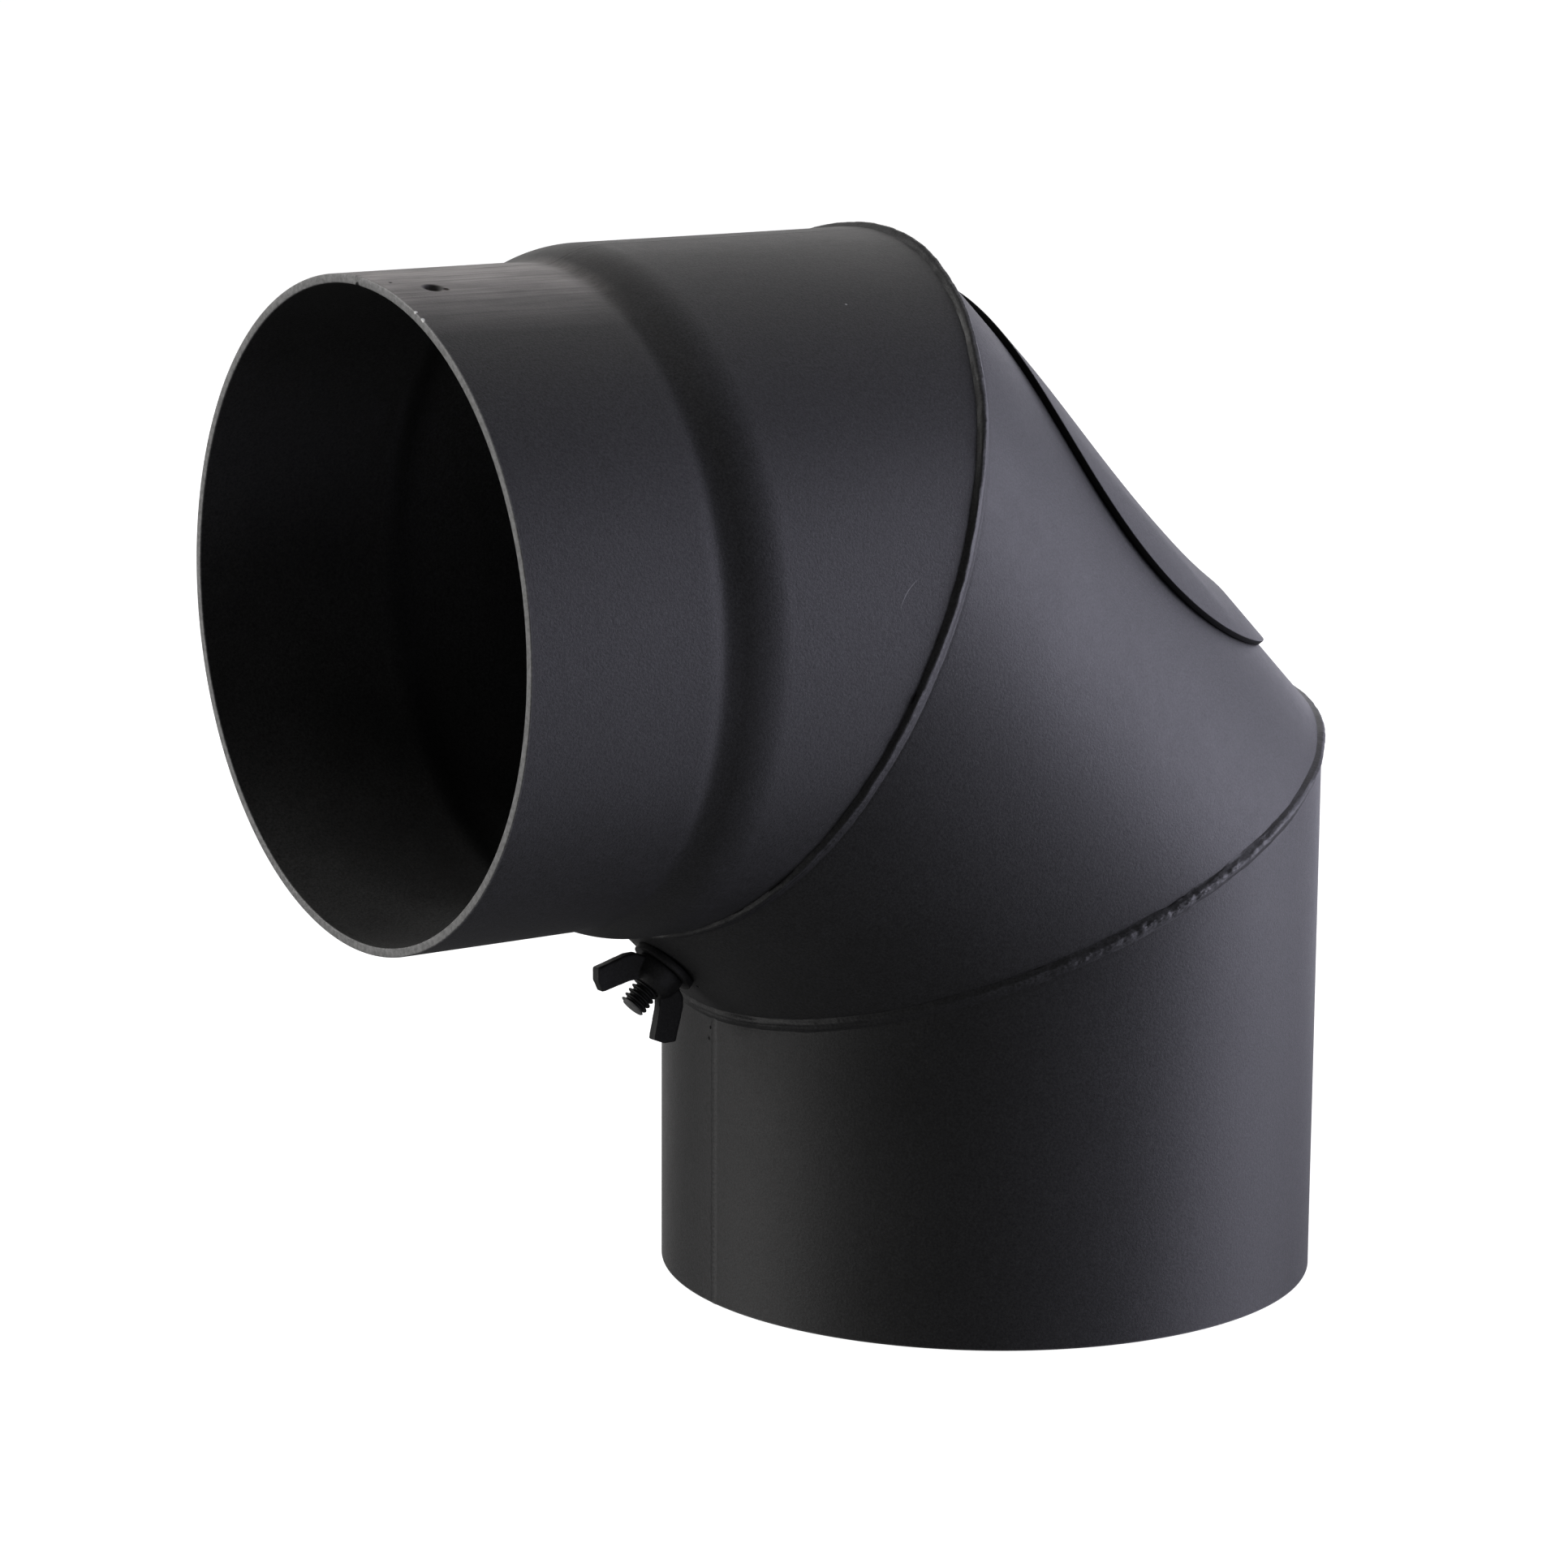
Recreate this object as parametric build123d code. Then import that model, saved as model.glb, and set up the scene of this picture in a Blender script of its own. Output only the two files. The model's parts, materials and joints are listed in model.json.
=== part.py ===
from build123d import *
import math
import os

# Flue elbow for a solid-fuel stove: three mitred segments of welded sheet,
# a swaged spigot on the horizontal leg, a plain socket on the vertical leg,
# and an inspection door held by a long stud and a wing nut in the throat.
# The origin is the centre of the lower opening. +Z is up, and the spigot
# leaves along -X.

# ---- driving dimensions, millimetres and degrees ----
socket_bore = 150.0
sheet = 2.0
centre_to_end = 169.2
bend_radius = 115.5
elbow_angle = 90.0
segment_count = 3

spigot_diameter = 147.0
spigot_length = 49.0
flare_length = 12.2
screw_hole_diameter = 4.0
screw_hole_from_rim = 10.6
screw_hole_angle = 13.0

bead_radius = 1.25
bead_sink = 0.55
seam_width = 2.4
horizontal_seam_angle = 2.5
middle_seam_angle = 95.0

door_half_length = 61.5
door_half_angle = 47.8
door_shift = 0.6
door_sheet = 1.5
door_gap = 0.3
opening_margin = 14.0
outline_points = 24

thread_diameter = 6.35
stud_shift = 2.5
stud_reach = 13.0
stud_chamfer = 0.9
stud_hole_diameter = 7.4
stud_weld_radius = 6.0
stud_weld_height = 3.0
stud_weld_toe = 0.3

washer_diameter = 15.4
washer_bore = 7.1
washer_thickness = 1.6
washer_gap = 0.1
washer_edge = 0.2

nut_bore_clearance = 0.05
nut_gap = 0.05
nut_base_diameter = 12.6
nut_top_diameter = 9.6
nut_height = 5.6
nut_turn_at_rest = 10.0
wing_thickness = 1.9

# One wing's outline: distance from the stud's axis, height above the nut's foot.
wing_outline = [
    (3.6, 5.6),
    (5.2, 7.5),
    (8.8, 13.7),
    (13.7, 10.4),
    (9.7, 3.3),
    (8.2, 1.6),
    (5.9, 0.7),
    (3.6, 0.7),
]

# ---- values that follow from them ----
outer_radius = socket_bore / 2 + sheet
inner_radius = socket_bore / 2
spigot_radius = spigot_diameter / 2
mitre_angle = elbow_angle / (2 * (segment_count - 1))
segment_turn = 2 * mitre_angle
gore_length = 2 * bend_radius * math.tan(math.radians(mitre_angle))
gore_rise = gore_length * math.sin(math.radians(segment_turn))
lower_mitre_z = centre_to_end - gore_rise
stud_radius = thread_diameter / 2
door_inner_radius = outer_radius + door_gap
door_outer_radius = door_inner_radius + door_sheet
overlap = 20.0
cut_margin = 1.0

# ---- axes and planes ----
# The gore runs along gore_dir; outward is the side of the door, and the
# throat is the opposite side.
gore_dir = Vector(-1, 0, 1).normalized()
outward = Vector(1, 0, 1).normalized()
lower_mitre_centre = Vector(0, 0, lower_mitre_z)
upper_mitre_centre = Vector(-gore_rise, 0, centre_to_end)
gore_centre = (lower_mitre_centre + upper_mitre_centre) * 0.5
spigot_rim_centre = Vector(-centre_to_end, 0, centre_to_end)

tilt = math.radians(mitre_angle)
lower_mitre = Plane(
    origin=lower_mitre_centre,
    x_dir=(0, 1, 0),
    z_dir=(-math.sin(tilt), 0, math.cos(tilt)),
)
upper_mitre = Plane(
    origin=upper_mitre_centre,
    x_dir=(0, 1, 0),
    z_dir=(-math.cos(tilt), 0, math.sin(tilt)),
)


def gore_point(along, across):
    """A point in the gore's frame: along its axis, and outward from it."""
    return gore_centre + gore_dir * along + outward * across


def rod(start, direction, radius, length):
    """A solid cylinder from a point along a direction."""
    return Plane(origin=start, z_dir=direction) * Cylinder(
        radius, length, align=(Align.CENTER, Align.CENTER, Align.MIN)
    )


def tube(start, direction, outside, inside, length):
    """A round tube from a point along a direction."""
    bore = rod(start - direction * cut_margin, direction, inside, length + 2 * cut_margin)
    return rod(start, direction, outside, length) - bore


def turned(direction, axis, angle):
    """A direction turned about an axis by an angle in degrees."""
    return direction.rotate(Axis((0, 0, 0), axis), angle)


def below(shape, plane):
    """The part of a shape behind a plane's normal."""
    return split(shape, bisect_by=plane, keep=Keep.BOTTOM)


def above(shape, plane):
    """The part of a shape in front of a plane."""
    return split(shape, bisect_by=plane, keep=Keep.TOP)


def seam_slab(centre, axis, radial, length):
    """A thin slab along a tube, through one side of its wall: the seam gap."""
    slab_plane = Plane(origin=centre, x_dir=radial, z_dir=axis)
    reach = outer_radius + overlap
    slab = Box(reach, seam_width, length, align=(Align.MIN, Align.CENTER, Align.MIN))
    return slab_plane * slab


# ---- the three segments, as closed tubes before their seams are cut ----
def vertical_tube():
    full = tube(Vector(0, 0, 0), Vector(0, 0, 1), outer_radius, inner_radius, 2 * lower_mitre_z)
    return below(full, lower_mitre)


def middle_tube():
    reach = gore_length + 4 * outer_radius
    full = tube(gore_point(-reach / 2, 0), gore_dir, outer_radius, inner_radius, reach)
    return below(above(full, lower_mitre), upper_mitre)


def horizontal_tube():
    """Revolved profile: spigot, arc-shaped flare, then the full-size body."""
    step = outer_radius - spigot_radius
    arc_radius = (flare_length**2 + step**2) / (2 * step)
    inner_arc_radius = arc_radius - sheet
    inner_flare = math.sqrt(inner_arc_radius**2 - (inner_arc_radius - step) ** 2)
    rim_x = -centre_to_end
    flare_x = rim_x + spigot_length
    body_x = flare_x + flare_length
    end_x = outer_radius

    def on_arc(radius, start_angle, fraction):
        angle = start_angle * (1 - fraction)
        x = body_x - radius * math.sin(angle)
        return x, outer_radius - arc_radius + radius * math.cos(angle)

    outer_start = math.asin(flare_length / arc_radius)
    inner_start = math.asin(inner_flare / inner_arc_radius)
    outside = Polyline((rim_x, spigot_radius - sheet), (rim_x, spigot_radius), (flare_x, spigot_radius))
    outside += ThreePointArc(
        on_arc(arc_radius, outer_start, 0), on_arc(arc_radius, outer_start, 0.5), (body_x, outer_radius)
    )
    outside += Polyline(
        (body_x, outer_radius), (end_x, outer_radius), (end_x, inner_radius), (body_x, inner_radius)
    )
    outside += ThreePointArc(
        (body_x, inner_radius),
        on_arc(inner_arc_radius, inner_start, 0.5),
        on_arc(inner_arc_radius, inner_start, 0),
    )
    outside += Line(on_arc(inner_arc_radius, inner_start, 0), (rim_x, spigot_radius - sheet))
    profile = Plane.XZ * make_face(outside)
    full = revolve(profile, Axis.X, 360)
    return above(full.moved(Location((0, 0, centre_to_end))), upper_mitre)


# ---- welds ----
def mitre_weld(mitre):
    """A round bead along the ellipse where two tubes meet at a mitre."""
    path_radius = outer_radius - bead_sink
    path = mitre * Ellipse(path_radius, path_radius / math.cos(tilt)).edge()
    start = path @ 0
    section = Plane(origin=start, z_dir=path % 0) * Circle(bead_radius)
    return sweep(section, path=path)


# ---- the inspection door ----
def door_outline(half_length, half_angle, radius):
    """The oval outline of a rolled blank, seen along the outward direction."""
    points = []
    for index in range(outline_points):
        turn = 2 * math.pi * index / outline_points
        along = half_length * math.cos(turn)
        side = radius * math.sin(math.radians(half_angle) * math.sin(turn))
        points.append((along, side))
    face_plane = Plane(origin=gore_point(door_shift, 0), x_dir=gore_dir, z_dir=outward)
    return face_plane * make_face(Spline(points, periodic=True))


def door_prism(half_length, half_angle, radius):
    return extrude(door_outline(half_length, half_angle, radius), amount=outer_radius + overlap)


def rolled_door():
    throat_side = Plane(origin=gore_point(-outer_radius, 0), x_dir=-outward, z_dir=gore_dir)
    core = throat_side * Cylinder(
        door_inner_radius, 2 * outer_radius, align=(Align.CENTER, Align.CENTER, Align.MIN)
    )
    core &= door_prism(door_half_length, door_half_angle, door_inner_radius)
    seat = core.faces().filter_by(GeomType.CYLINDER).sort_by(SortBy.AREA)[-1]
    return thicken(seat, amount=door_sheet, normal_override=outward)


def door_opening():
    margin_angle = math.degrees(opening_margin / outer_radius)
    half_length = door_half_length - opening_margin
    return door_prism(half_length, door_half_angle - margin_angle, outer_radius)


# ---- the stud, its weld, the washer and the wing nut ----
def stud():
    top = math.sqrt(door_inner_radius**2 - stud_radius**2)
    length = top + outer_radius + stud_reach
    body = rod(gore_point(stud_shift, top), -outward, stud_radius, length)
    tip = body.edges().filter_by(GeomType.CIRCLE).sort_by(Axis((0, 0, 0), outward))[0]
    return chamfer(tip, stud_chamfer)


def fillet_weld():
    """A cone that runs on past the door's inner face, trimmed to the door and to its own radius."""
    plane = Plane(origin=gore_point(stud_shift, door_inner_radius - stud_weld_height), z_dir=outward)
    toe_radius = stud_radius + stud_weld_toe
    cone = plane * Cone(
        toe_radius,
        toe_radius + 2 * (stud_weld_radius - toe_radius),
        2 * stud_weld_height,
        align=(Align.CENTER, Align.CENTER, Align.MIN),
    )
    under_door = rod(gore_point(-outer_radius, 0), gore_dir, door_inner_radius, 2 * outer_radius)
    column = rod(gore_point(stud_shift, 0), outward, stud_radius, 2 * outer_radius)
    limit = rod(gore_point(stud_shift, 0), outward, stud_weld_radius, 2 * outer_radius)
    return (cone & under_door & limit) - column


def washer_ring():
    start = gore_point(stud_shift, -outer_radius - washer_gap)
    ring = tube(start, -outward, washer_diameter / 2, washer_bore / 2, washer_thickness)
    rims = ring.edges().filter_by(GeomType.CIRCLE).group_by(SortBy.LENGTH)[-1]
    return chamfer(rims, washer_edge)


def wing(nut_plane, side):
    """One flat wing that leans outward and up from the hub."""
    outline = Polyline([(side * across, height) for across, height in wing_outline], close=True)
    face = Plane.XZ * make_face(outline)
    blade = extrude(face, amount=wing_thickness / 2, both=True)
    return nut_plane * blade


def wing_nut_body():
    base = gore_point(stud_shift, -outer_radius - washer_gap - washer_thickness - nut_gap)
    nut_plane = Plane(origin=base, x_dir=turned(gore_dir, -outward, nut_turn_at_rest), z_dir=-outward)
    hub = nut_plane * Cone(
        nut_base_diameter / 2,
        nut_top_diameter / 2,
        nut_height,
        align=(Align.CENTER, Align.CENTER, Align.MIN),
    )
    body = hub + wing(nut_plane, 1) + wing(nut_plane, -1)
    return body - rod(base + outward, -outward, stud_radius + nut_bore_clearance, 3 * nut_height)


# ---- assembly ----
def build():
    upper_bead = mitre_weld(upper_mitre)
    lower_bead = mitre_weld(lower_mitre)
    beads = upper_bead + lower_bead

    vertical = vertical_tube() - beads
    middle = middle_tube() - beads
    horizontal = horizontal_tube() - beads

    vertical_slab = seam_slab(
        Vector(0, 0, -cut_margin), Vector(0, 0, 1), Vector(-1, 0, 0), 2 * lower_mitre_z
    )
    middle_radial = turned(outward, gore_dir, middle_seam_angle)
    middle_slab = seam_slab(gore_point(-2 * outer_radius, 0), gore_dir, middle_radial, 4 * outer_radius)
    horizontal_radial = turned(Vector(0, 0, 1), Vector(1, 0, 0), horizontal_seam_angle)
    horizontal_slab = seam_slab(
        spigot_rim_centre - Vector(cut_margin, 0, 0), Vector(1, 0, 0), horizontal_radial, 2 * centre_to_end
    )

    hole_radial = turned(Vector(0, 0, 1), Vector(1, 0, 0), screw_hole_angle)
    hole_start = spigot_rim_centre + Vector(screw_hole_from_rim, 0, 0)
    screw_hole = rod(hole_start, hole_radial, screw_hole_diameter / 2, outer_radius + overlap)
    stud_hole = rod(gore_point(stud_shift, 0), -outward, stud_hole_diameter / 2, outer_radius + overlap)

    return {
        "horizontal_section": horizontal - horizontal_slab - screw_hole,
        "middle_section": middle - middle_slab - door_opening() - stud_hole,
        "vertical_section": vertical - vertical_slab,
        "upper_mitre_weld": upper_bead,
        "lower_mitre_weld": lower_bead,
        "horizontal_seam_weld": horizontal & horizontal_slab,
        "middle_seam_weld": middle & middle_slab,
        "vertical_seam_weld": vertical & vertical_slab,
        "door_plate": rolled_door(),
        "door_stud": stud(),
        "stud_weld": fillet_weld(),
        "washer": washer_ring(),
        "wing_nut": wing_nut_body(),
    }


os.makedirs("parts", exist_ok=True)
for name, shape in build().items():
    shape.label = name
    export_step(shape, f"parts/{name}.step")
    print(name, round(shape.volume, 1))
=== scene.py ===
import json
import math

import bmesh
import bpy
import numpy as np
from mathutils import Matrix, Vector


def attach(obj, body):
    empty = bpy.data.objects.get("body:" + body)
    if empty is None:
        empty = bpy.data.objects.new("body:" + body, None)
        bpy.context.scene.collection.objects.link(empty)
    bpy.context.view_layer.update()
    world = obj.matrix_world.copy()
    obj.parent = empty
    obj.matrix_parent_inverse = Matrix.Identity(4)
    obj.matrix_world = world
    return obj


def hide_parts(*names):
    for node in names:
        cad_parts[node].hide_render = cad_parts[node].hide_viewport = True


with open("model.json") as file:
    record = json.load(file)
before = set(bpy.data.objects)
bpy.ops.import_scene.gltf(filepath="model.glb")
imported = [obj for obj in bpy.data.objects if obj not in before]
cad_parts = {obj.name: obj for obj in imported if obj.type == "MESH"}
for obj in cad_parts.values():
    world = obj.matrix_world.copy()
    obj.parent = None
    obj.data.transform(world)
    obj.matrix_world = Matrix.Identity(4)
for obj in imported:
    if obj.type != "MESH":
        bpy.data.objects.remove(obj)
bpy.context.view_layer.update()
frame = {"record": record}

# Looks for a black-painted flue elbow. All shapes here are in millimetres
# and degrees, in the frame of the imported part, and become metres when a mesh
# is made. Every angle round a tube starts at the outside of the bend (the
# top, for the spigot's leg) and grows toward -Y.

METRE = 0.001
record = frame["record"]
mounts = {mount["name"]: mount for mount in record["mounts"]}
couplings = {row["joint"]: row for row in record["behaviour"]["couplings"]}


def millimetres(vector):
    return np.array([value / METRE for value in vector])


# ---- sizes that the frame gives ----
inner_radius = mounts["lower_socket"]["dims"]["r_mm"]
spigot_radius = mounts["upper_spigot"]["dims"]["r_mm"]
spigot_length = mounts["upper_spigot"]["dims"]["length_mm"]
spigot_rim = millimetres(mounts["upper_spigot"]["pos_m"])
screw_hole_radius = mounts["screw_hole"]["dims"]["r_mm"]
screw_hole_centre = millimetres(mounts["screw_hole"]["pos_m"])
thread_pitch = couplings["washer_slide"]["ratio"] * 2 * math.pi / METRE
leg_length = spigot_rim[2]

# ---- the sheet ----
sheet = 2.0
outer_radius = inner_radius + sheet
bend_radius = 115.5
flare_length = 12.2
flare_crease = 2.5
swage_groove = 0.16
swage_groove_width = 2.2
rim_edge = 0.3
# width of the rim's wear, which is also painted brighter as a highlight on the rim face
rim_wear_and_highlight = 0.45
seam_width = 2.4
seam_overlap = 0.08
seam_sink = 0.03
seam_trim = 0.02
seam_ripple = 0.25
seam_ripple_bow = 0.5
seam_root = 0.6
horizontal_seam_crown = 0.0
middle_seam_crown = 0.25
vertical_seam_crown = 0.12
horizontal_seam = 2.5
middle_seam = -95.0
vertical_seam = 180.0
throat = 180.0
wave_size = 0.05
# share of the size, waves round the tube, radians a millimetre along it, phase
sheet_waves = [
    (0.5, 2, 0.0, 0.7),
    (0.3, 3, 0.031, 1.9),
    (0.175, 7, 0.055, 0.0),
    (0.125, 4, 0.11, 0.0),
]

# ---- the welds, with noise as rows of (size, extra where crumbly, bump length in steps) ----
bead_reach = 1.9
upper_bead_height = 1.2
lower_bead_height = 1.0
bead_root = 1.6
bead_pitch = 1.25
bead_step = 0.2
# how much longer a mitre's bead is than a square-cut tube's rim
mitre_stretch = 1.05
bead_softness = 1.5
bead_sink = 0.03
bead_ripple = 0.018
bead_ripple_bow = 0.9
bead_wander = [(0.15, 0.0, 55), (0.04, 0.1, 13)]
bead_height_change = [(0.15, 0.0, 60), (0.06, 0.14, 8)]
bead_phase_change = [(1.2, 0.0, 25)]
bead_crest_change = [(0.2, 0.0, 70), (0.12, 0.0, 17)]
bead_width_change = [(0.04, 0.1, 20)]
bead_streaks = [(0.06, 0.0, 90), (0.0, 0.17, 5)]
crumbly_middle = 94.0
crumbly_half = 34.0
crumbly_fade = 0.5
crumbly_widening = 0.1
upper_crest = -0.42
lower_crest = 0.14
groove = 1.0
undercut = 0.05
undercut_width = 0.45

# ---- the door ----
door_half_length = 62.2
door_half_angle = 47.8
door_shift = -0.1
door_sheet = 1.5
door_gap = 0.3
opening_margin = 14.0
dish_depth = 3.35
door_edge = 0.3
side_lift = 0.3
side_lift_power = 4
settle_depth = 0.27
# along the gore, growing upward from its centre
settle_start = -10.0
settle_length = 50.0
dish_deepest = -4.0
dish_low_end = -38.0
dish_high_end = 46.0
edge_slope = 0.5

# ---- the stud, the washer and the wing nut ----
stud_radius = 3.175
stud_shift = 2.5
stud_hole_radius = 3.7
stud_reach = 13.0
stud_chamfer = 0.4
stud_clearance = 0.05
stud_wear = 0.8
stud_weld_radius = 6.0
stud_weld_height = 3.0
stud_weld_toe = 0.15
stud_weld_curve = 0.9
thin = 0.01
thread_depth = 0.78
thread_length = 36.0
thread_crest = 0.12
thread_flank = 0.72
washer_radius = 7.7
washer_bore = 3.55
washer_thickness = 1.6
washer_gap = 0.1
washer_edge = 0.25
washer_edge_break = 0.3
nut_gap = 0.05
nut_bore = 3.225
nut_height = 5.6
nut_foot_radius = 5.9
nut_top_radius = 4.9
hub_foot_height = 1.2
hub_shoulder_height = 1.6
hub_shoulder = 0.3
hub_crown = 0.9
hub_core = 0.05
bore_core = 0.02
bore_overshoot = 2.0
cast_voxel = 0.2
cast_softness = 0.6
cast_passes = 14
nut_turn_at_rest = 6.0
wing_thickness = 3.0
# the wing ends' wear, brightened further as a painted highlight
wing_end_wear_and_highlight = 0.35
most_wing_wear_and_highlight = 0.6
# one wing's outline: out from the stud's axis, and down from the nut's foot
wing_outline = [
    (3.6, 5.6),
    (5.2, 7.5),
    (8.8, 13.5),
    (11.5, 12.4),
    (13.5, 10.3),
    (9.7, 3.3),
    (8.2, 1.6),
    (5.9, 0.7),
    (3.6, 0.7),
]

# ---- how fine the meshes are ----
# degrees round a tube or round the door
ring_step = 1.25
hole_half_angle = 2.4
hole_column = 0.2
stud_hole_half_angle = 4.2
stud_hole_column = 0.3
door_turn_step = 1.0
# shares of a tube's length, of a bead's length or of the door's radius
row_step = 0.0125
mitre_zone = 0.035
mitre_row = 0.003
hole_row = 0.0025
spigot_rim_zone = 0.008
spigot_rim_row = 0.0006
socket_rim_zone = 0.012
socket_rim_row = 0.0008
flare_end = 0.62
flare_row = 0.006
seam_row = 0.004
door_ring_step = 0.025
door_edge_zone = 0.012
door_edge_ring = 0.0012
# millimetres
hole_half_length = 3.0
flare_lead = 4.0
slope_step = 0.01
stud_row = 2.0
# counts
seam_columns = 13
bead_columns = 17
stud_sides = 40
rows_in_a_pitch = 12
fillet_rows = 8
weld_sides = 64
hub_sides = 64
bore_sides = 48
washer_sides = 96
fewest_knots = 4
# the sharpest bends that are still shaded smooth, in degrees
smooth_angle = 40.0
bead_smooth_angle = 70.0
turned_smooth_angle = 35.0
thread_smooth_angle = 60.0
nut_smooth_angle = 50.0

# ---- axes ----
tilt = math.tan(math.radians(22.5))
gore_length = 2 * bend_radius * tilt
gore_rise = gore_length / math.sqrt(2)
leg_end = leg_length - gore_rise
to_right = np.array([1.0, 0.0, 0.0])
to_front = np.array([0.0, -1.0, 0.0])
to_top = np.array([0.0, 0.0, 1.0])
gore_dir = (to_top - to_right) / math.sqrt(2)
outward = (to_top + to_right) / math.sqrt(2)
gore_centre = np.array([-gore_rise / 2, 0.0, leg_length - gore_rise / 2])
hole_side = screw_hole_centre - spigot_rim
hole_along = hole_side[0]
hole_angle = math.degrees(math.atan2(-hole_side[1], hole_side[2]))
opening_half_angle = door_half_angle - math.degrees(opening_margin / outer_radius)
tiny = 1e-6
rng = np.random.default_rng(7)


class Leg:
    """A tube's own coordinates: an angle round it, a distance along it and a radius."""

    def __init__(self, start, axis, outside):
        self.start = start
        self.axis = axis
        self.outside = outside

    def point(self, angle, along, radius):
        angle, along, radius = np.broadcast_arrays(angle, along, radius)
        turn = np.radians(angle)[..., None]
        across = np.cos(turn) * self.outside + np.sin(turn) * to_front
        return self.start + along[..., None] * self.axis + radius[..., None] * across


horizontal_leg = Leg(spigot_rim, to_right, to_top)
middle_leg = Leg(gore_centre, gore_dir, outward)
vertical_leg = Leg(np.zeros(3), to_top, to_right)


# ---- where each tube starts and ends at an angle and a radius ----
def rim_start(angle, radius):
    return 0 * angle


def leg_mitre(angle, radius):
    return leg_end + radius * np.cos(np.radians(angle)) * tilt


def gore_low(angle, radius):
    return -gore_length / 2 - radius * np.cos(np.radians(angle)) * tilt


def gore_high(angle, radius):
    return gore_length / 2 + radius * np.cos(np.radians(angle)) * tilt


# ---- mesh building ----
def lines(start, end, step, bands=()):
    """Grid lines from start to end, closer together inside bands of (from, to, step)."""
    marks = [start]

    def fill(to, spacing):
        if to - marks[-1] > tiny:
            count = max(1, math.ceil((to - marks[-1]) / spacing))
            marks.extend(np.linspace(marks[-1], to, count + 1)[1:])

    for low, high, fine in sorted(bands):
        fill(low, step)
        fill(high, fine)
    fill(end, step)
    return np.array(marks)


def add_marks(mesh, marks):
    """Named values at the points of a mesh that a material reads, such as wear with its painted highlight.
    """
    for key, values in marks.items():
        layer = mesh.attributes.new(key, "FLOAT", "POINT")
        layer.data.foreach_set("value", np.asarray(values).astype(np.float32))


def add_mesh(name, points, faces, marks=None, sharp=smooth_angle):
    """A mesh object from points in millimetres, with its normals outward."""
    points = np.asarray(points)
    used, corner = np.unique(np.concatenate([np.array(face) for face in faces]), return_inverse=True)
    sizes = [len(face) for face in faces]
    starts = np.concatenate([[0], np.cumsum(sizes)])
    faces = [corner[a:b].tolist() for a, b in zip(starts[:-1], starts[1:])]
    mesh = bpy.data.meshes.new(name)
    mesh.from_pydata((points[used] * METRE).tolist(), [], faces)
    add_marks(mesh, {key: np.asarray(values)[used] for key, values in (marks or {}).items()})
    work = bmesh.new()
    work.from_mesh(mesh)
    bmesh.ops.remove_doubles(work, verts=work.verts, dist=tiny)
    bmesh.ops.recalc_face_normals(work, faces=work.faces)
    work.to_mesh(mesh)
    work.free()
    mesh.shade_smooth()
    mesh.set_sharp_from_angle(angle=math.radians(sharp))
    obj = bpy.data.objects.new(name, mesh)
    bpy.context.scene.collection.objects.link(obj)
    return obj


def add_shell(name, outer, inner, keep=None, closed=False, marks=None, sharp=smooth_angle):
    """A piece of sheet from two matching grids, walled wherever kept cells end."""
    rows, columns = outer.shape[:2]
    cells = columns if closed else columns - 1
    if keep is None:
        keep = np.ones((rows - 1, cells), bool)
    below = rows * columns
    faces = []

    def kept(row, column):
        column = column % columns if closed else column
        return 0 <= row < rows - 1 and 0 <= column < cells and keep[row, column]

    for row, column in zip(*np.nonzero(keep)):
        a = int(row * columns + column)
        b = int(row * columns + (column + 1) % columns)
        c = b + columns
        d = a + columns
        faces.append((a, b, c, d))
        faces.append((d + below, c + below, b + below, a + below))
        sides = (
            (row - 1, column, a, b),
            (row + 1, column, c, d),
            (row, column - 1, d, a),
            (row, column + 1, b, c),
        )
        for next_row, next_column, start, end in sides:
            if not kept(next_row, next_column):
                faces.append((end, start, start + below, end + below))
    flat = {}
    for key, pair in (marks or {}).items():
        flat[key] = np.concatenate([np.broadcast_to(value, (rows, columns)).reshape(-1) for value in pair])
    points = np.concatenate([outer.reshape(-1, 3), inner.reshape(-1, 3)])
    return add_mesh(name, points, faces, flat, sharp)


def add_loft(name, rings, closed_path, marks=None, sharp=smooth_angle):
    """A closed skin through rings of points: a swept bead, or a turned part with capped ends."""
    count, ring = rings.shape[:2]
    faces = []
    for i in range(count if closed_path else count - 1):
        for j in range(ring):
            a = i * ring + j
            b = i * ring + (j + 1) % ring
            shift = ring if i < count - 1 else -i * ring
            faces.append((a, b, b + shift, a + shift))
    if not closed_path:
        faces.append(tuple(range(ring)))
        faces.append(tuple(range((count - 1) * ring, count * ring)))
    return add_mesh(name, rings.reshape(-1, 3), faces, marks, sharp)


def show(obj, node, material):
    """Puts a piece in place of its CAD node, on that node's body."""
    for body, nodes in record["behaviour"]["bodies"].items():
        if node in nodes:
            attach(obj, body)
    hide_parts(node)
    obj.data.materials.append(material)
    return obj


# ---- holes in a grid ----
def snap_to_hole(angle, along, keep, hole):
    """Drops the cells inside a hole and moves the points at its edge onto its outline."""
    middle_angle = (angle[:-1, :-1] + angle[1:, 1:]) / 2
    middle_along = (along[:-1, :-1] + along[1:, 1:]) / 2
    size, project = hole
    dropped = size(middle_angle, middle_along) < 1
    keep &= ~dropped
    solid = np.zeros(angle.shape, bool)
    empty = np.zeros(angle.shape, bool)
    for row in (0, 1):
        for column in (0, 1):
            corner = (
                slice(row, row + dropped.shape[0]),
                slice(column, column + dropped.shape[1]),
            )
            empty[corner] |= dropped
            solid[corner] |= ~dropped
    edge = solid & empty
    angle[edge], along[edge] = project(angle[edge], along[edge])


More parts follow.
